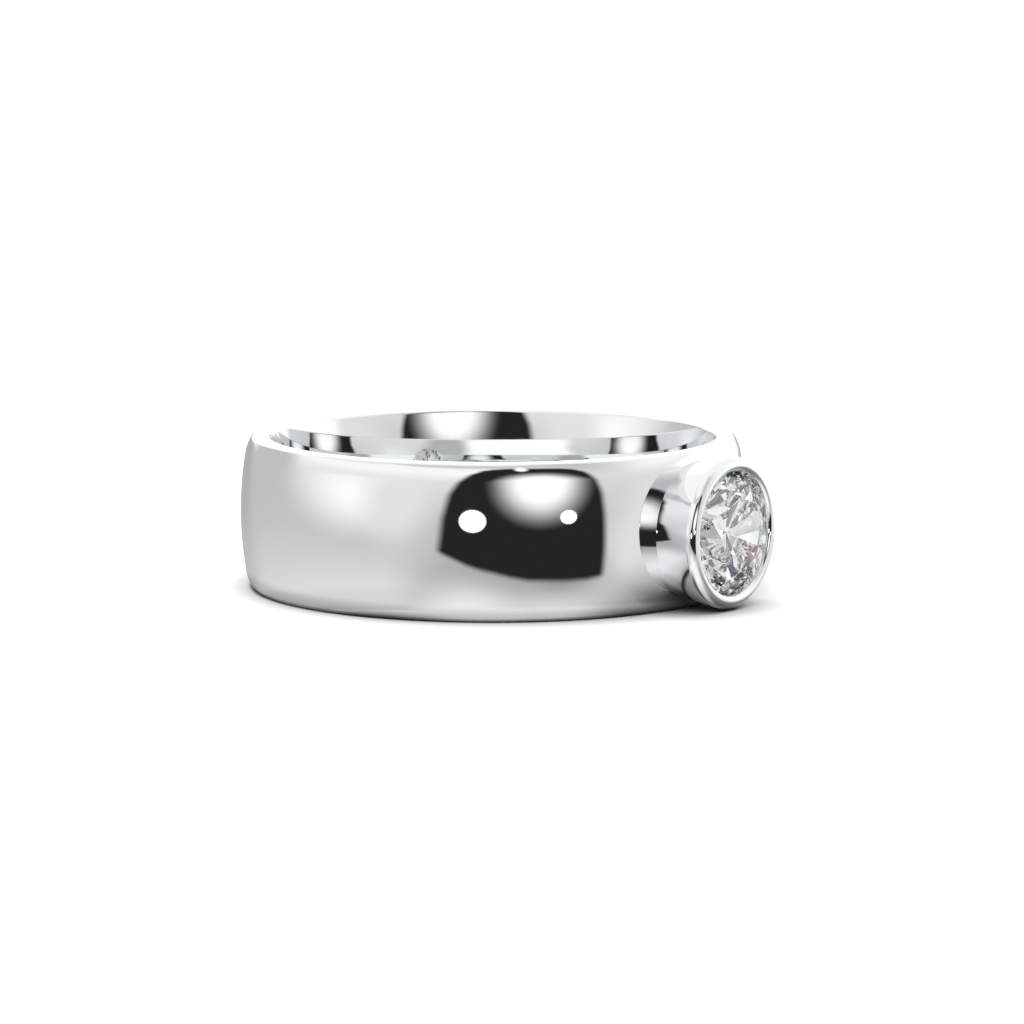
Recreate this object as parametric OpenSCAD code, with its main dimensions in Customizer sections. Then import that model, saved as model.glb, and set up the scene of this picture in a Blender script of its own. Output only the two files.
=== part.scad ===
// Finger ring with one round stone in a tapered bezel, lying on its side.
// The origin is the centre of the finger hole at mid width. The hole runs along Z and
// the stone looks along -Y. The bezel is soldered to the band, so the metal is one solid.

/* [Band] */
// Diameter of the finger hole at mid width
finger_d = 17.2; // [16:0.1:20]
// Width of the band along the finger
band_w = 6; // [5.9:0.1:7]
// Thickness of the band at mid width
band_t = 1.45; // [1.3:0.05:1.8]
// Radius of the outside dome across the width
dome_r = 13.9; // [12:0.1:18]
// Radius of the shoulders, where the dome rolls over to the side faces
shoulder_r = 1.8; // [1.4:0.1:2.2]
// Distance from the side faces at which the shoulders begin
shoulder_w = 0.66; // [0.5:0.02:0.8]
// Radius of the inside comfort curve across the width
comfort_r = 18.8; // [15:0.2:30]
// Length of the straight middle of the finger hole
straight_l = 1.8; // [1:0.1:3]
// Rounding of the band's four long edges
edge_r = 0.12; // [0.08:0.01:0.15]

/* [Bezel] */
// Greatest diameter of the lip
lip_d = 5.86; // [5.8:0.02:5.9]
// Height of the lip's top above the band
bezel_rise = 1.55; // [1.5:0.01:1.8]
// Rounding of the lip's outer edge
lip_r = 0.33; // [0.28:0.01:0.34]
// Rounding of the lip's inner edge
mouth_edge_r = 0.2; // [0.14:0.01:0.2]
// Height of the straight wall between the inner rounding and the stone
mouth_wall = 0.17; // [0.1:0.01:0.22]
// Taper of the bezel wall, from the stone's axis
taper = 9.7; // [7:0.1:12]
// Overlap of the lip on the stone's crown
lip_over = 0.11; // [0.08:0.01:0.13]
// Diameter of the light hole behind the stone
light_d = 3.44; // [3:0.02:3.8]
// Width of the countersink at the light hole's inner end
sink_w = 0.2; // [0.1:0.01:0.3]

/* [Stone] */
// Diameter of the stone's girdle
stone_d = 5; // [4.9:0.02:5.06]
// Width of the table across its corners, as a share of the stone
table_share = 0.57; // [0.53:0.01:0.63]
// Slope of the crown's kite facets
crown_slope = 34.5; // [32:0.5:36]
// Slope of the pavilion's main facets
pavilion_slope = 40.75; // [40:0.25:42]
// Thickness of the girdle where it is widest
girdle_t = 0.15; // [0.13:0.01:0.2]
// Reach of the star facets from the table's edge to the girdle
star_share = 0.53; // [0.45:0.01:0.6]
// Reach of the lower half facets from the girdle to the point
half_share = 0.77; // [0.7:0.01:0.85]
// Turn of the stone about its axis
stone_turn = 0; // [0:0.5:45]
// Gap between the stone and its seat
seat_gap = 0.03; // [0.02:0.01:0.04]

/* [Hidden] */
$fn = 180;

finger_r = finger_d / 2;
outer_r = finger_r + band_t;
half_w = band_w / 2;
half_bore = straight_l / 2;
// Centres of the dome's and the comfort curve's circles, as radii from the ring's axis
dome_c = outer_r - dome_r;
comfort_c = finger_r + sqrt(comfort_r * comfort_r - half_bore * half_bore);
// Centres of the discs that make the shoulders and round the long edges. Each lies a hair
// nearer both of its sides than its radius, so the disc cuts the sides at a clear angle.
shoulder_back = dome_r - 0.997 * shoulder_r;
shoulder_a = asin((half_w - shoulder_w) / dome_r);
shoulder_way = [cos(shoulder_a), sin(shoulder_a)];
shoulder = [dome_c, 0] + shoulder_back * shoulder_way;
edge_in = 0.99 * edge_r;
edge_y = half_w - edge_in;
outer_edge = [shoulder.x + sqrt(pow(shoulder_r - edge_in, 2) - pow(edge_y - shoulder.y, 2)), edge_y];
inner_edge = [comfort_c - sqrt(pow(comfort_r - edge_in, 2) - edge_y * edge_y), edge_y];
outer_way = (outer_edge - shoulder) / (shoulder_r - edge_in);
inner_way = (inner_edge - [comfort_c, 0]) / (comfort_r - edge_in);

// Heights along the stone's axis, from the ring's axis
lip_top = outer_r + bezel_rise;
bezel_foot = finger_r + 0.4;
stone_r = stone_d / 2;
mouth_r = stone_r - lip_over;
mouth_foot = lip_top - mouth_edge_r - mouth_wall;
mouth_edge = [mouth_r, lip_top] + 0.99 * mouth_edge_r * [1, -1];
light_r = light_d / 2;
sink_slope = 20;
sink_top = finger_r + sink_w / tan(sink_slope);
past_wall = 1;

// Facets: eight kites, each with two half facets above and below the girdle
KITES = 8;
step_a = 360 / KITES;
half_a = step_a / 2;
GIRDLE_CUTS = 4;
girdle_n = 2 * KITES * GIRDLE_CUTS;
table_r = stone_r * table_share;
table_flat = table_r * cos(half_a);
star_r = table_flat + star_share * (stone_r - table_flat);
point_r = stone_r * (1 - half_share);
table_z = (stone_r - table_r) * tan(crown_slope);
star_z = (stone_r - star_r * cos(half_a)) * tan(crown_slope);
lower_z = -(stone_r - point_r * cos(half_a)) * tan(pavilion_slope);
point_z = -stone_r * tan(pavilion_slope);

// The lip's underside and the seat run along the stone's half facets, a gap away from them
crown_rise = star_z / (stone_r - star_r);
seat_fall = -lower_z / (stone_r - point_r);
girdle_top = mouth_foot - lip_over * crown_rise - seat_gap * norm([1, crown_rise]);
function under_lip(r) = girdle_top + (stone_r - r) * crown_rise + seat_gap * norm([1, crown_rise]);
function on_seat(r) = girdle_top - girdle_t - (stone_r - r) * seat_fall - seat_gap * norm([1, seat_fall]);
groove_r = stone_r + seat_gap;

// What a rounded corner loses: a wedge from the disc's centre past the corner, less the disc
module corner_cut(c, r, way)
    difference() {
        far = 2 * r;
        polygon([c, c + [0, far], c + [far * sign(way.x), far], c + far * way]);
        translate(c) circle(r);
    }

module band_section() difference() {
    intersection() {
        translate([finger_r, -half_w]) square([2 * band_t, band_w]);
        translate([dome_c, 0]) circle(dome_r);
        translate([comfort_c, 0]) circle(comfort_r);
    }
    for (side = [0, 1]) mirror([0, side]) {
        corner_cut(shoulder, shoulder_r, shoulder_way);
        corner_cut(outer_edge, edge_r, outer_way);
        corner_cut(inner_edge, edge_r, inner_way);
    }
}

// Turns a profile, drawn as radius and height, about the stone's axis
module about_stone_axis() rotate([90, 0, 0]) rotate_extrude() children();

// The bezel before it is hollowed: a tapered plug with a rounded lip
module bezel_section() {
    c = [lip_d / 2 - lip_r, lip_top - lip_r];
    touch = c + lip_r * [cos(taper), -sin(taper)];
    foot_r = touch.x - (touch.y - bezel_foot) * tan(taper);
    polygon([[0, bezel_foot], [foot_r, bezel_foot], touch, [c.x, lip_top], [0, lip_top]]);
    translate(c) circle(lip_r);
}

// The space for the stone, from the rounded mouth through the seat to the finger hole
module stone_space_section() {
    corner_cut(mouth_edge, mouth_edge_r, [-1, 0]);
    polygon([
        [0, finger_r - past_wall],
        [light_r + (sink_top - finger_r + past_wall) * tan(sink_slope), finger_r - past_wall],
        [light_r, sink_top],
        [light_r, on_seat(light_r)],
        [groove_r, on_seat(groove_r)],
        [groove_r, under_lip(groove_r)],
        [mouth_r, mouth_foot],
        [mouth_r, lip_top + past_wall],
        [0, lip_top + past_wall]
    ]);
}

module band_with_bezel() color("gainsboro") difference() {
    union() {
        rotate_extrude() band_section();
        about_stone_axis() bezel_section();
    }
    about_stone_axis() stone_space_section();
}

// Height of a half facet at the girdle, at angle a from its middle: it meets the kite's
// tip at both ends of its chord and rises to tip_z at radius tip_r
function scallop(a, tip_r, tip_z) =
    let (chord = stone_r * cos(half_a / 2))
    tip_z * (chord - stone_r * cos(a)) / (chord - tip_r * cos(half_a / 2));
function off_middle(j) = (j % GIRDLE_CUTS) * half_a / GIRDLE_CUTS - half_a / 2;
function at(r, a, z) = [r * cos(a), r * sin(a), z];

module stone_body() {
    turn = girdle_n / KITES;
    top_0 = 2 * KITES;
    low_0 = top_0 + girdle_n;
    tip_0 = low_0 + girdle_n;
    point_i = tip_0 + KITES;
    points = [
        for (k = [0 : KITES - 1]) at(table_r, k * step_a, table_z),
        for (k = [0 : KITES - 1]) at(star_r, (k + 0.5) * step_a, star_z),
        for (j = [0 : girdle_n - 1])
            at(stone_r, j * 360 / girdle_n, scallop(off_middle(j), star_r, star_z)),
        for (j = [0 : girdle_n - 1])
            at(stone_r, j * 360 / girdle_n, scallop(off_middle(j), point_r, lower_z) - girdle_t),
        for (k = [0 : KITES - 1]) at(point_r, (k + 0.5) * step_a, lower_z - girdle_t),
        [0, 0, point_z - girdle_t]
    ];
    table = [for (k = [KITES - 1 : -1 : 0]) k];
    stars = [for (k = [0 : KITES - 1]) [k, (k + 1) % KITES, KITES + k]];
    kites = [for (k = [0 : KITES - 1]) [k, KITES + k, top_0 + k * turn, KITES + (k + KITES - 1) % KITES]];
    upper = [for (h = [0 : 2 * KITES - 1]) concat(
        [for (j = [GIRDLE_CUTS : -1 : 0]) top_0 + (h * GIRDLE_CUTS + j) % girdle_n],
        [KITES + floor(h / 2)])];
    girdle = [for (j = [0 : girdle_n - 1]) let (n = (j + 1) % girdle_n)
        [top_0 + j, top_0 + n, low_0 + n, low_0 + j]];
    lower = [for (h = [0 : 2 * KITES - 1]) concat(
        [for (j = [0 : GIRDLE_CUTS]) low_0 + (h * GIRDLE_CUTS + j) % girdle_n],
        [tip_0 + floor(h / 2)])];
    mains = [for (k = [0 : KITES - 1])
        [point_i, tip_0 + (k + KITES - 1) % KITES, low_0 + k * turn, tip_0 + k]];
    polyhedron(points, concat([table], stars, kites, upper, girdle, lower, mains));
}

module stone() color("aliceblue")
    rotate([90, 0, 0]) translate([0, 0, girdle_top]) rotate(stone_turn) stone_body();

band_with_bezel();
stone();
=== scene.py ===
import math

import bmesh
import bpy
import numpy as np
from mathutils import Matrix, Vector


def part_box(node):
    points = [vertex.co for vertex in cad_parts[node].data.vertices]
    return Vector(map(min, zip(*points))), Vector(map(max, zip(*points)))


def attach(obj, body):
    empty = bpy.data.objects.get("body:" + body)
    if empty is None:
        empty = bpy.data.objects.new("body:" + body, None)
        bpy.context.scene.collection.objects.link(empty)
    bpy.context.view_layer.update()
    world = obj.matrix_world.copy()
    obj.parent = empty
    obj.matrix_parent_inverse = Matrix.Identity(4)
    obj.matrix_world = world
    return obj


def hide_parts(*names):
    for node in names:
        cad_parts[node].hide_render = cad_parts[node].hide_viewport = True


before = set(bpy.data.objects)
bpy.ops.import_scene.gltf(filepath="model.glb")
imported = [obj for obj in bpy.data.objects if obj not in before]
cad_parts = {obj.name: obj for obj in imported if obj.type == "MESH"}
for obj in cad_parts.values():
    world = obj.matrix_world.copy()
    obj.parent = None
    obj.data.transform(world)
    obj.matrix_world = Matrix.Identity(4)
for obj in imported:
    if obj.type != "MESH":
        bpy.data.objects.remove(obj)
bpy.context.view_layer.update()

MM = 0.001
band_low, band_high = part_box("band_with_bezel")
FLOOR_Z = band_low.z

# Sizes in millimetres. Those times MM are in metres, as Blender's are.
# Band
OUTER_R = 10.05
HALF_W = band_high.z / MM
FINGER_R = 8.6
DOME_R = 13.9
SHOULDER_R = 1.8
SHOULDER_W = 0.66
COMFORT_R = 18.8
STRAIGHT_L = 1.8
EDGE_R = 0.12
# Bezel
LIP_TOP = -band_low.y / MM
LIP_R = 0.33
LIP_OUTER_R = 2.93
TAPER = math.radians(9.7)
BEZEL_FOOT = FINGER_R + 0.4
MOUTH_R = 2.39
MOUTH_EDGE_R = 0.2
MOUTH_WALL = 0.17
# Stone's seat and light hole. The seat's slopes, as height over radius, are those of the
# stone's half facets above and below its girdle.
STONE_R = 2.5
SEAT_GAP = 0.03
CROWN_RISE = 0.8702
SEAT_FALL = 0.8813
GIRDLE_T = 0.15
LIGHT_R = 1.72
SINK_W = 0.2
SINK_SLOPE = math.radians(20)
PAST_WALL = 1.0
# The inner rounding ends just before the flat top, so that the cut crosses it cleanly
RIM_CUT_A = math.radians(94)

# Steps of the curves: along the sections, and round the finger hole's and the stone's axis. The
# straight sides of the stone's space have a step for each SPACE_STRETCH.
DOME_STEPS = 36
SHOULDER_STEPS = 12
OUTER_EDGE_STEPS = 8
INNER_EDGE_STEPS = 10
COMFORT_STEPS = 30
LIP_STEPS = 24
MOUTH_EDGE_STEPS = 16
BEZEL_WALL_STEPS = 8
FLAT_STEPS = 3
SIDE_FACE_STEPS = 2
SPACE_STRETCH = 0.3
ROUND_FINGER = 256
ROUND_STONE = 192
# Nearer than this, two points of a section are one, in millimetres, and two vertices, in metres
SAME_POINT = 1e-6
SAME_VERTEX = 1e-8

# Finishes. The buff's noise lies mostly between its low and its high.
BUFF_PATCH = 0.8 * MM
BUFF_LOW = 0.3
BUFF_HIGH = 0.7
ROUGH_FINEST = 0.015
ROUGH_HAZIEST = 0.03
DIAMOND_IOR = 2.42
# Light parts into mostly red, mostly green and mostly blue, which add up to white. Each has the
# diamond's IOR for its colour.
DIAMOND_SPLIT = (("#DA6C6C", 2.410), ("#6CDA6C", 2.420), ("#6C6CDA", 2.436))

# Floor, in metres: a square far wider than the view. Its colour holds painted shade from the ring, soft
# over the longer reach and close over the shorter one. Mirrors see that painted shade stronger.
FLOOR_HALF = 20.0
FLOOR_SHIFT = 9.0
SHADE_REACH = 1.5 * MM
CONTACT_REACH = 0.15 * MM
SHADE_POWER = 0.52
MIRRORED_POWER = 1.5

# The photograph's view: the camera's turn round the ring from before the stone, its place and
# aim, and its lens in pixels of the frame
VIEW_AZIMUTH = math.radians(-53.3)
CAMERA_AWAY = 153.853 * MM
CAMERA_ABOVE_FLOOR = 24.041 * MM
CAMERA_YAW = 0.0049
CAMERA_PITCH = -0.1367
FOCAL_PX = 3890.8
FRAME_PX = 1024
SENSOR_MM = 36.0
NEAREST_SEEN = 0.01
FARTHEST_SEEN = 100.0


def srgb(hex_colour):
    """Turns an sRGB hex colour to the linear RGBA that Blender's sockets hold."""
    parts = [int(hex_colour[i:i + 2], 16) / 255 for i in (1, 3, 5)]
    return [c / 12.92 if c <= 0.04045 else ((c + 0.055) / 1.055) ** 2.4 for c in parts] + [1.0]


def add(tree, kind, inputs=None, **settings):
    """Adds a node. inputs gives each socket a value, or a node or an output to link to it."""
    made = tree.nodes.new(kind)
    for name, value in settings.items():
        setattr(made, name, value)
    for socket, value in (inputs or {}).items():
        if isinstance(value, bpy.types.Node):
            value = value.outputs[0]
        if isinstance(value, bpy.types.NodeSocket):
            tree.links.new(value, made.inputs[socket])
        else:
            made.inputs[socket].default_value = value
    return made


def new_material(name):
    """An empty material and its node tree."""
    material = bpy.data.materials.new(name)
    material.use_nodes = True
    material.node_tree.nodes.clear()
    return material, material.node_tree


# A profile is a list of stretches, each (point, normal, point, normal) in radius and height


def arc(centre, radius, start, end, steps):
    """Stretches along an arc between two angles, with normals away from the centre."""
    angles = np.linspace(start, end, steps + 1)
    ways = [np.array([math.cos(a), math.sin(a)]) for a in angles]
    points = [np.array(centre) + radius * way for way in ways]
    return [(points[i], ways[i], points[i + 1], ways[i + 1]) for i in range(steps)]


def line(start, end, normal, steps=1):
    """Stretches along a straight line with one normal."""
    start, end = np.array(start, float), np.array(end, float)
    normal = np.array(normal, float) / np.linalg.norm(normal)
    points = [start + (end - start) * i / steps for i in range(steps + 1)]
    return [(points[i], normal, points[i + 1], normal) for i in range(steps)]


def band_profile():
    """The band's section, from the middle of the finger hole round to it again."""
    dome_c = OUTER_R - DOME_R
    comfort_c = FINGER_R + math.sqrt(COMFORT_R ** 2 - (STRAIGHT_L / 2) ** 2)
    edge_y = HALF_W - EDGE_R
    dome_a = math.asin((HALF_W - SHOULDER_W) / DOME_R)
    shoulder_x = dome_c + (DOME_R - SHOULDER_R) * math.cos(dome_a)
    shoulder_y = (DOME_R - SHOULDER_R) * math.sin(dome_a)
    shoulder_a = math.asin((edge_y - shoulder_y) / (SHOULDER_R - EDGE_R))
    outer_x = shoulder_x + (SHOULDER_R - EDGE_R) * math.cos(shoulder_a)
    inner_x = comfort_c - math.sqrt((COMFORT_R - EDGE_R) ** 2 - edge_y ** 2)
    comfort_a = math.atan2(edge_y, inner_x - comfort_c)
    up = math.pi / 2
    down = -up
    return [
        *arc((dome_c, 0), DOME_R, -dome_a, dome_a, DOME_STEPS),
        *arc((shoulder_x, shoulder_y), SHOULDER_R, dome_a, shoulder_a, SHOULDER_STEPS),
        *arc((outer_x, edge_y), EDGE_R, shoulder_a, up, OUTER_EDGE_STEPS),
        *line((outer_x, HALF_W), (inner_x, HALF_W), (0, 1), SIDE_FACE_STEPS),
        *arc((inner_x, edge_y), EDGE_R, up, comfort_a, INNER_EDGE_STEPS),
        *arc((comfort_c, 0), COMFORT_R, comfort_a, 2 * math.pi - comfort_a, COMFORT_STEPS),
        *arc((inner_x, -edge_y), EDGE_R, 2 * math.pi - comfort_a, 3 * up, INNER_EDGE_STEPS),
        *line((inner_x, -HALF_W), (outer_x, -HALF_W), (0, -1), SIDE_FACE_STEPS),
        *arc((outer_x, -edge_y), EDGE_R, down, -shoulder_a, OUTER_EDGE_STEPS),
        *arc((shoulder_x, -shoulder_y), SHOULDER_R, -shoulder_a, -dome_a, SHOULDER_STEPS),
    ]


def bezel_profile():
    """The tapered wall and rounded lip, closed to the stone's axis at both ends."""
    lip_c = (LIP_OUTER_R - LIP_R, LIP_TOP - LIP_R)
    touch = (lip_c[0] + LIP_R * math.cos(TAPER), lip_c[1] - LIP_R * math.sin(TAPER))
    foot = (touch[0] - (touch[1] - BEZEL_FOOT) * math.tan(TAPER), BEZEL_FOOT)
    wall_normal = (math.cos(TAPER), -math.sin(TAPER))
    return [
        *line((0, BEZEL_FOOT), foot, (0, -1), FLAT_STEPS),
        *line(foot, touch, wall_normal, BEZEL_WALL_STEPS),
        *arc(lip_c, LIP_R, -TAPER, math.pi / 2, LIP_STEPS),
        *line((lip_c[0], LIP_TOP), (0, LIP_TOP), (0, 1), FLAT_STEPS),
    ]


def space_profile():
    """The space cut for the stone and the light hole. Its normals point into the space."""
    rise = SEAT_GAP * math.hypot(1, CROWN_RISE)
    fall = SEAT_GAP * math.hypot(1, SEAT_FALL)
    mouth_foot = LIP_TOP - MOUTH_EDGE_R - MOUTH_WALL
    girdle_top = mouth_foot - (STONE_R - MOUTH_R) * CROWN_RISE - rise
    groove_r = STONE_R + SEAT_GAP
    sink_top = FINGER_R + SINK_W / math.tan(SINK_SLOPE)
    low = FINGER_R - PAST_WALL
    corners = [
        (0, low),
        (LIGHT_R + (sink_top - low) * math.tan(SINK_SLOPE), low),
        (LIGHT_R, sink_top),
        (LIGHT_R, girdle_top - GIRDLE_T - (STONE_R - LIGHT_R) * SEAT_FALL - fall),
        (groove_r, girdle_top - GIRDLE_T + SEAT_GAP * SEAT_FALL - fall),
        (groove_r, girdle_top - SEAT_GAP * CROWN_RISE + rise),
        (MOUTH_R, mouth_foot),
        (MOUTH_R, LIP_TOP - MOUTH_EDGE_R),
    ]
    made = []
    for start, end in zip(corners, corners[1:]):
        along = np.array(end) - np.array(start)
        steps = max(1, round(np.linalg.norm(along) / SPACE_STRETCH))
        made += line(start, end, (-along[1], along[0]), steps)
    rim_r = MOUTH_R + MOUTH_EDGE_R
    rim_h = LIP_TOP - MOUTH_EDGE_R
    rim_end = (rim_r + MOUTH_EDGE_R * math.cos(RIM_CUT_A), rim_h + MOUTH_EDGE_R * math.sin(RIM_CUT_A))
    high = LIP_TOP + PAST_WALL
    return [
        *made,
        *arc((rim_r, rim_h), MOUTH_EDGE_R, math.pi, RIM_CUT_A, MOUTH_EDGE_STEPS),
        *line(rim_end, (rim_r, high), (-1, 0)),
        *line((rim_r, high), (0, high), (0, -1), FLAT_STEPS),
    ]


TO_STONE_AXIS = Matrix.Rotation(math.radians(90), 4, "X")


def spun(name, profile, turn, steps, material_index):
    """Spins a profile round Z into a closed mesh, then turns it to its own axis."""
    bm = bmesh.new()
    verts = [bm.verts.new((p[0] * MM, 0, p[1] * MM)) for p, _, _, _ in profile]
    last = profile[-1][2]
    if np.linalg.norm(last - profile[0][0]) > SAME_POINT:
        verts.append(bm.verts.new((last[0] * MM, 0, last[1] * MM)))
        edges = [bm.edges.new(pair) for pair in zip(verts, verts[1:])]
    else:
        edges = [bm.edges.new((verts[i], verts[(i + 1) % len(verts)])) for i in range(len(verts))]
    bmesh.ops.spin(bm, geom=verts + edges, cent=(0, 0, 0), axis=(0, 0, 1), dvec=(0, 0, 0),
                   angle=math.tau, steps=steps, use_merge=True, use_duplicate=False)
    bmesh.ops.remove_doubles(bm, verts=bm.verts, dist=SAME_VERTEX)
    bmesh.ops.recalc_face_normals(bm, faces=bm.faces)
    bmesh.ops.transform(bm, matrix=turn, verts=bm.verts)
    for face in bm.faces:
        face.smooth = True
        face.material_index = material_index
    mesh = bpy.data.meshes.new(name)
    bm.to_mesh(mesh)
    bm.free()
    piece = bpy.data.objects.new(name, mesh)
    bpy.context.scene.collection.objects.link(piece)
    return piece


def true_normals(mesh, sources):
    """Gives each corner the exact normal of the spun surface that its face was cut from.
    sources has, for each material index, (profile, turn)."""
    faces_at_once = 4000
    count = len(mesh.polygons)
    corners = len(mesh.loops)
    which = np.zeros(count, np.int32)
    mesh.polygons.foreach_get("material_index", which)
    centres = np.zeros(count * 3)
    mesh.polygons.foreach_get("center", centres)
    places = np.zeros(len(mesh.vertices) * 3)
    mesh.vertices.foreach_get("co", places)
    vertex = np.zeros(corners, np.int32)
    mesh.loops.foreach_get("vertex_index", vertex)
    totals = np.zeros(count, np.int32)
    mesh.polygons.foreach_get("loop_total", totals)
    face = np.repeat(np.arange(count), totals)
    centres = centres.reshape(-1, 3) / MM
    places = places.reshape(-1, 3)[vertex] / MM
    normals = np.zeros((corners, 3))
    for index, (profile, turn) in enumerate(sources):
        back = np.array(turn.inverted().to_3x3())
        starts, start_n, ends, end_n = (np.array([s[k] for s in profile]) for k in range(4))
        along = ends - starts
        length2 = (along ** 2).sum(1)
        # For each face that comes from this profile, the stretch nearest to the face's middle
        mine = np.nonzero(which == index)[0]
        flat = centres[mine] @ back.T
        flat = np.stack([np.hypot(flat[:, 0], flat[:, 1]), flat[:, 2]], 1)
        nearest = np.zeros(len(mine), int)
        for i in range(0, len(mine), faces_at_once):
            q = flat[i:i + faces_at_once, None] - starts
            t = np.clip((q * along).sum(2) / length2, 0, 1)
            nearest[i:i + faces_at_once] = ((q - t[..., None] * along) ** 2).sum(2).argmin(1)
        stretch = np.zeros(count, int)
        stretch[mine] = nearest
        # For each corner of those faces, the stretch's normal at the corner, spun round with it
        loops = np.nonzero(which[face] == index)[0]
        k = stretch[face[loops]]
        here = places[loops] @ back.T
        radius = np.hypot(here[:, 0], here[:, 1])
        flat = np.stack([radius, here[:, 2]], 1)
        t = np.clip(((flat - starts[k]) * along[k]).sum(1) / length2[k], 0, 1)[:, None]
        n = start_n[k] * (1 - t) + end_n[k] * t
        round_way = here[:, :2] / np.maximum(radius, SAME_POINT)[:, None]
        n = np.stack([n[:, 0] * round_way[:, 0], n[:, 0] * round_way[:, 1], n[:, 1]], 1)
        normals[loops] = n @ np.array(turn.to_3x3()).T
    normals /= np.linalg.norm(normals, axis=1, keepdims=True)
    mesh.normals_split_custom_set(normals.tolist())


def cut(piece, tool, operation):
    """Joins or cuts a piece with a tool by an exact boolean, then removes the tool."""
    modifier = piece.modifiers.new(tool.name, "BOOLEAN")
    modifier.object = tool
    modifier.operation = operation
    modifier.solver = "EXACT"
    modifier.material_mode = "INDEX"
    bpy.context.view_layer.update()
    graph = bpy.context.evaluated_depsgraph_get()
    made = bpy.data.meshes.new_from_object(piece.evaluated_get(graph))
    piece.modifiers.clear()
    piece.data = made
    bpy.data.objects.remove(tool)


def make_metal():
    """The band with its bezel soldered on, hollowed for the stone and the light behind it."""
    upright = Matrix.Identity(4)
    band = band_profile()
    bezel = bezel_profile()
    space = space_profile()
    metal = spun("polished_metal", band, upright, ROUND_FINGER, 0)
    cut(metal, spun("bezel_tool", bezel, TO_STONE_AXIS, ROUND_STONE, 1), "UNION")
    cut(metal, spun("space_tool", space, TO_STONE_AXIS, ROUND_STONE, 2), "DIFFERENCE")
    mesh = metal.data
    for face in mesh.polygons:
        face.use_smooth = True
    true_normals(mesh, [(band, upright), (bezel, TO_STONE_AXIS), (space, TO_STONE_AXIS)])
    mesh.polygons.foreach_set("material_index", [0] * len(mesh.polygons))
    mesh.materials.clear()
    return metal


def polished_white_gold():
    """White gold, cast, turned and buffed to a mirror: near-white, with crisp reflections that
    are only a little hazier where the buff has left the surface less fine."""
    material, tree = new_material("polished_white_gold")
    where = add(tree, "ShaderNodeTexCoord").outputs["Object"]
    haze = add(tree, "ShaderNodeTexNoise", {"Vector": where, "Scale": 1 / BUFF_PATCH, "Detail": 3.0})
    rough = add(tree, "ShaderNodeMapRange", {
        "Value": haze, "From Min": BUFF_LOW, "From Max": BUFF_HIGH,
        "To Min": ROUGH_FINEST, "To Max": ROUGH_HAZIEST})
    shader = add(tree, "ShaderNodeBsdfPrincipled", {
        "Base Color": srgb("#ECEEEE"), "Metallic": 1.0, "Roughness": rough})
    add(tree, "ShaderNodeOutputMaterial", {"Surface": shader})
    return material


def cut_diamond():
    """Diamond, cut and polished: sharp facets, and high refraction that differs by colour, so
    that facets flash white with small specks of red and blue. Only the first surface splits the
    colours; the later ones are plain, so that each colour's light can still cross the stone."""
    material, tree = new_material("cut_diamond")
    red, green, blue = (
        add(tree, "ShaderNodeBsdfGlass", {"Color": srgb(colour), "Roughness": 0.0, "IOR": ior})
        for colour, ior in DIAMOND_SPLIT)
    red_green = add(tree, "ShaderNodeAddShader", {0: red, 1: green})
    split = add(tree, "ShaderNodeAddShader", {0: red_green, 1: blue})
    plain = add(tree, "ShaderNodeBsdfGlass", {
        "Color": srgb("#FFFFFF"), "Roughness": 0.0, "IOR": DIAMOND_IOR})
    depth = add(tree, "ShaderNodeLightPath").outputs["Ray Depth"]
    later = add(tree, "ShaderNodeMath", {0: depth, 1: 0.5}, operation="GREATER_THAN")
    whole = add(tree, "ShaderNodeMixShader", {0: later, 1: split, 2: plain})
    add(tree, "ShaderNodeOutputMaterial", {"Surface": whole})
    return material


def make_floor():
    """A floor of white paper, matte and almost white, that the ring lies on, with painted shade in its
    colour where the ring is near. Metal and stone see through it to the studio below, which holds the
    floor's own brightness; what they see through it is tinted with the same painted shade, made stronger."""
    bm = bmesh.new()
    bmesh.ops.create_grid(bm, x_segments=1, y_segments=1, size=FLOOR_HALF)
    # Shifted, so that the diagonal between its two triangles doesn't pass under the ring
    bmesh.ops.translate(bm, verts=bm.verts, vec=(FLOOR_SHIFT, 0, FLOOR_Z))
    mesh = bpy.data.meshes.new("floor")
    bm.to_mesh(mesh)
    bm.free()
    floor = bpy.data.objects.new("floor", mesh)
    bpy.context.scene.collection.objects.link(floor)
    material, tree = new_material("paper_with_painted_shade")
    # Painted shade: ambient occlusion from the ring darkens the paper's own colour, softly over the longer
    # reach and closely at the contact
    near, touch = (add(tree, "ShaderNodeAmbientOcclusion", {"Distance": reach}, samples=4).outputs["AO"]
                   for reach in (SHADE_REACH, CONTACT_REACH))
    soft_shade = add(tree, "ShaderNodeMath", {0: near, 1: SHADE_POWER}, operation="POWER")
    shade = add(tree, "ShaderNodeMath", {0: soft_shade, 1: touch}, operation="MULTIPLY")
    colour = add(tree, "ShaderNodeVectorMath", {0: srgb("#F8F8F8")[:3], "Scale": shade}, operation="SCALE")
    paper = add(tree, "ShaderNodeBsdfDiffuse", {"Color": colour})
    # Painted shade in the mirrors: the same shade, made stronger, tints the floor that metal and stone see
    # through
    mirrored_shade = add(tree, "ShaderNodeMath", {0: shade, 1: MIRRORED_POWER}, operation="POWER")
    clear = add(tree, "ShaderNodeBsdfTransparent", {"Color": mirrored_shade})
    mirrored = add(tree, "ShaderNodeLightPath").outputs["Is Glossy Ray"]
    both = add(tree, "ShaderNodeMixShader", {0: mirrored, 1: paper, 2: clear})
    add(tree, "ShaderNodeOutputMaterial", {"Surface": both})
    mesh.materials.append(material)


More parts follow.
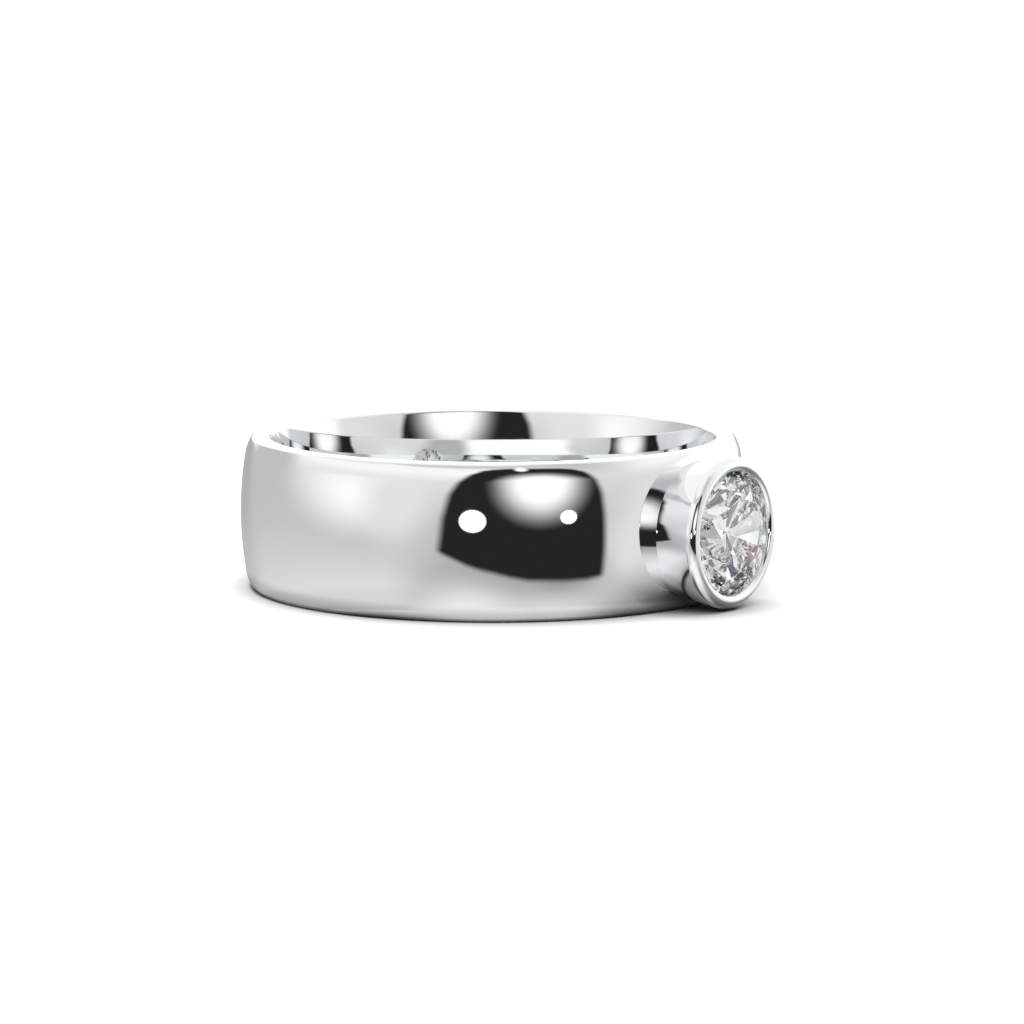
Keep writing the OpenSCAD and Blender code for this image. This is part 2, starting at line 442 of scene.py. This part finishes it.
def make_camera():
    """The photograph's camera, a little above the floor and looking slightly down."""
    data = bpy.data.cameras.new("camera")
    data.sensor_width = SENSOR_MM
    data.lens = FOCAL_PX * SENSOR_MM / FRAME_PX
    data.clip_start = NEAREST_SEEN
    data.clip_end = FARTHEST_SEEN
    camera = bpy.data.objects.new("camera", data)
    bpy.context.scene.collection.objects.link(camera)
    bpy.context.scene.camera = camera
    ahead = Vector((math.sin(CAMERA_YAW) * math.cos(CAMERA_PITCH),
                    math.cos(CAMERA_YAW) * math.cos(CAMERA_PITCH), math.sin(CAMERA_PITCH)))
    right = Vector((math.cos(CAMERA_YAW), -math.sin(CAMERA_YAW), 0))
    above = right.cross(ahead)
    facing = Matrix((right, above, -ahead)).transposed().to_4x4()
    place = Matrix.Translation((0, -CAMERA_AWAY, FLOOR_Z + CAMERA_ABOVE_FLOOR))
    camera.matrix_world = Matrix.Rotation(VIEW_AZIMUTH, 4, "Z") @ place @ facing


# The studio round the ring, in degrees as seen from it. Azimuth 0 is towards the photograph's
# camera, and positive to its right.
# Brightness by elevation before the ring, and behind it. The one turns into the other between
# these two shares of the way to straight behind.
BACK_FROM = 0.6
BACK_FULL = 0.95
FRONT_LEVELS = [
    (-90, 0.8), (-40, 1.08), (-30, 0.9), (-21, 0.85), (-12, 0.72), (-4, 0.65), (4, 0.74), (11, 0.87),
    (24, 1.02), (33, 1.11), (47, 1.08), (66, 1.08), (90, 1.12)]
BACK_LEVELS = [
    (-90, 0.8), (-25, 0.9), (-12, 0.57), (0, 0.45), (5.5, 0.74), (7.2, 1.34), (25, 1.36), (90, 1.4)]
# Soft patches of light and shade: name, azimuth, elevation, half width, half height, softness as a
# share of those halves, brightness
PATCHES = [
    ("left_softbox", -66, 4.5, 24, 7.5, 1.0, 1.16),
    ("back_left_shade", -129, 11, 22.5, 18, 0.4, 0.61),
    ("right_wall", 87, -21, 37, 35, 0.3, 0.87),
    ("back_right_light", 129, 4, 36, 13, 0.2, 1.35),
    ("back_softbox", 150, 17, 52, 11, 0.2, 1.4),
    ("left_wall", -45.5, 3, 13, 9.5, 0.8, 0.89),
    ("dark_line_above", -31, 49, 67, 4.3, 0.5, 0.71),
    ("right_top_shade", 47, 50, 25, 30, 1.0, 0.63),
    ("left_top_light", -92, 45, 29, 6.5, 0.3, 0.91),
]
# The floor's brightness, and painted shade for the ring's own shadow on it, laid into the studio below the
# horizon, which the band mirrors. The stone looks away from them.
FLOOR_PATCHES = [
    ("right_floor_shade", 100, -26, 42, 9, 0.7, 0.28),
    ("left_floor_shade", -105, -32, 115, 11, 0.15, 0.79),
    ("shade_under_flag", 30, -17, 18.5, 7, 1.0, 0.28),
    ("shade_left_of_flag", -8.5, -19.5, 24, 8.5, 1.0, 0.41),
    ("bright_floor", -13, -74, 36, 50, 0.25, 1.1),
    ("painted_floor_shade_left", -120, -62, 70, 16, 0.6, 0.15),
    ("painted_floor_shade_right", 120, -50, 52, 20, 0.6, 0.2),
]
# The black flag's edges: (elevation, azimuth) along its sides, and (azimuth, elevation) along its
# top and foot
FLAG_LEFT = [
    (-18, -27), (-12, -25.5), (-6, -24), (0, -23), (8, -20), (10, -18), (12, -16), (16, -15),
    (24, -13), (31, -11), (37, -7)]
FLAG_RIGHT = [
    (-20, 51.5), (-10, 51.5), (0, 51.2), (6, 50.5), (8, 49.7), (10, 48.4), (16, 47.6), (24, 46.8),
    (30, 46), (36, 43)]
FLAG_TOP = [
    (-14, 40.5), (-6, 40), (0, 43.5), (6, 45), (13, 45.5), (20, 44.5), (30, 43), (36, 41.5),
    (41, 38.5), (48, 34.5)]
FLAG_FOOT = [
    (-30, -9.5), (-24, -11), (-18, -13), (-12, -15), (-6, -16.5), (0, -17.5), (8, -19), (16, -20),
    (34, -20), (44, -19.5), (54, -18)]
# How far each edge fades to either side, in degrees
FADE_LEFT = 2.6
FADE_RIGHT = 2.25
FADE_TOP = 2.8
FADE_FOOT = 1.25
# The flag's own brightness
FLAG_LEVEL = 0.021
# Two glows before the flag, and the round lights, in the same terms as the patches
GLOWS = [
    ("glow_low", 22, 11.5, 13.5, 8, 1.0, 1.7),
    ("glow_high", 21, 18, 11.5, 9.5, 1.0, 1.28),
]
LAMPS = [
    ("round_light_left", -9.1, -0.6, 5.4, 3.25, 0.2, 6.0),
    ("round_light_right", 33.8, 0, 3.3, 1.85, 0.25, 6.0),
    ("small_light_above", 15, 42.5, 2.7, 3.7, 0.9, 1.8),
]
# Brightness of the white surroundings that light the floor, at the far left and the far right
FLOOR_LIGHT_LEFT = 2.5
FLOOR_LIGHT_RIGHT = 0.9


def read_curve(tree, value, points, low, high, handles):
    """Reads a curve through points at a value. The points' second numbers lie from low to high,
    and handles says how the curve turns at each."""
    first, last = float(points[0][0]), float(points[-1][0])
    along = add(tree, "ShaderNodeMapRange", {"Value": value, "From Min": first, "From Max": last})
    curve = add(tree, "ShaderNodeFloatCurve", {"Value": along})
    marks = curve.mapping.curves[0].points
    while len(marks) < len(points):
        marks.new(0.5, 0.5)
    for mark, (at, height) in zip(marks, points):
        mark.location = ((at - first) / (last - first), (height - low) / (high - low))
        mark.handle_type = handles
    curve.mapping.update()
    return add(tree, "ShaderNodeMapRange", {"Value": curve, "To Min": low, "To Max": high})


def lay_patches(tree, level, azimuth, elevation, patches, strength=1.0):
    """Lays patches over a level, one after the other, each an ellipse of the sky with a soft edge.
    strength is a value or a node: 1 lays them fully, 0 leaves them out."""
    for name, at_az, at_el, half_az, half_el, soft, brightness in patches:
        # The azimuth is counted round the patch's middle, so that no patch has a seam behind
        near = add(tree, "ShaderNodeMath", {0: azimuth, 1: at_az + 180.0, 2: at_az - 180.0},
                   operation="WRAP")
        u = add(tree, "ShaderNodeMapRange", {
            "Value": near, "From Min": float(at_az), "From Max": float(at_az + half_az)}, clamp=False)
        v = add(tree, "ShaderNodeMapRange", {
            "Value": elevation, "From Min": float(at_el), "From Max": float(at_el + half_el)}, clamp=False)
        both = add(tree, "ShaderNodeCombineXYZ", {0: u, 1: v})
        far = add(tree, "ShaderNodeVectorMath", {0: both}, operation="LENGTH").outputs["Value"]
        cover = add(tree, "ShaderNodeMapRange", {
            "Value": far, "From Min": 1 + soft, "From Max": 1 - soft, "To Max": strength},
            interpolation_type="SMOOTHSTEP", label=name)
        level = add(tree, "ShaderNodeMix", {"Factor": cover, 2: level, 3: brightness}, data_type="FLOAT")
    return level


def on_flag(tree, azimuth, elevation):
    """1 on the black flag and 0 off it: a direction is on it where it lies inside all four edges."""
    flag = 1.0
    for points, along, across, start, end in (
            (FLAG_LEFT, elevation, azimuth, -FADE_LEFT, FADE_LEFT),
            (FLAG_RIGHT, elevation, azimuth, FADE_RIGHT, -FADE_RIGHT),
            (FLAG_TOP, azimuth, elevation, FADE_TOP, -FADE_TOP),
            (FLAG_FOOT, azimuth, elevation, -FADE_FOOT, FADE_FOOT)):
        edge = read_curve(tree, along, points, low=-90.0, high=90.0, handles="VECTOR")
        past = add(tree, "ShaderNodeMath", {0: across, 1: edge}, operation="SUBTRACT")
        flag = add(tree, "ShaderNodeMapRange", {
            "Value": past, "From Min": start, "From Max": end, "To Max": flag},
            interpolation_type="SMOOTHSTEP")
    return flag


def make_studio():
    """Surrounds the ring with a soft pale studio, a black flag and its lights. Only metal and
    stone see it. The camera and the floor see plain white."""
    world = bpy.data.worlds.new("studio")
    bpy.context.scene.world = world
    world.use_nodes = True
    tree = world.node_tree
    tree.nodes.clear()
    way = add(tree, "ShaderNodeTexCoord").outputs["Generated"]
    turned = add(tree, "ShaderNodeVectorRotate", {"Vector": way, "Angle": -VIEW_AZIMUTH},
                 rotation_type="Z_AXIS")
    axes = add(tree, "ShaderNodeSeparateXYZ", {0: turned}).outputs
    before = add(tree, "ShaderNodeMath", {0: axes["Y"], 1: -1.0}, operation="MULTIPLY")
    around = add(tree, "ShaderNodeMath", {0: axes["X"], 1: before}, operation="ARCTAN2")
    azimuth = add(tree, "ShaderNodeMath", {0: around}, operation="DEGREES")
    tilt = add(tree, "ShaderNodeMath", {0: axes["Z"]}, operation="ARCSINE")
    elevation = add(tree, "ShaderNodeMath", {0: tilt}, operation="DEGREES")
    path = add(tree, "ShaderNodeLightPath").outputs

    behind = add(tree, "ShaderNodeMapRange", {
        "Value": before, "From Min": -BACK_FROM, "From Max": -BACK_FULL}, interpolation_type="SMOOTHSTEP")
    front, back = (read_curve(tree, elevation, levels, low=0.0, high=2.0, handles="AUTO_CLAMPED")
                   for levels in (FRONT_LEVELS, BACK_LEVELS))
    level = add(tree, "ShaderNodeMix", {"Factor": behind, 2: front, 3: back}, data_type="FLOAT")
    level = lay_patches(tree, level, azimuth, elevation, PATCHES)
    # Painted shade of the ring on the floor, laid over the studio for every ray that hasn't crossed the
    # stone
    outside_stone = add(tree, "ShaderNodeMath", {0: path["Transmission Depth"], 1: 0.5},
                        operation="LESS_THAN")
    level = lay_patches(tree, level, azimuth, elevation, FLOOR_PATCHES, outside_stone)
    black = lay_patches(tree, FLAG_LEVEL, azimuth, elevation, GLOWS)
    flag = on_flag(tree, azimuth, elevation)
    level = add(tree, "ShaderNodeMix", {"Factor": flag, 2: level, 3: black}, data_type="FLOAT")
    level = lay_patches(tree, level, azimuth, elevation, LAMPS)
    studio = add(tree, "ShaderNodeBackground", {"Color": level})

    from_side = add(tree, "ShaderNodeMapRange", {
        "Value": axes["X"], "From Min": -1.0, "To Min": FLOOR_LIGHT_LEFT, "To Max": FLOOR_LIGHT_RIGHT})
    white = add(tree, "ShaderNodeBackground", {"Color": from_side})
    unmirrored = add(tree, "ShaderNodeMath", {0: path["Is Camera Ray"], 1: path["Is Diffuse Ray"]},
                     operation="ADD")
    both = add(tree, "ShaderNodeMixShader", {0: unmirrored, 1: studio, 2: white})
    add(tree, "ShaderNodeOutputWorld", {"Surface": both})


metal = make_metal()
metal.data.materials.append(polished_white_gold())
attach(metal, "root")
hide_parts("band_with_bezel")

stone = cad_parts["stone"]
stone.data.materials.clear()
stone.data.materials.append(cut_diamond())

make_floor()
make_studio()
make_camera()

scene = bpy.context.scene
scene.view_settings.view_transform = "Standard"
# Light turns many times between the stone's facets, and several between the band's walls
scene.cycles.max_bounces = 24
scene.cycles.glossy_bounces = 12
scene.cycles.transmission_bounces = 24
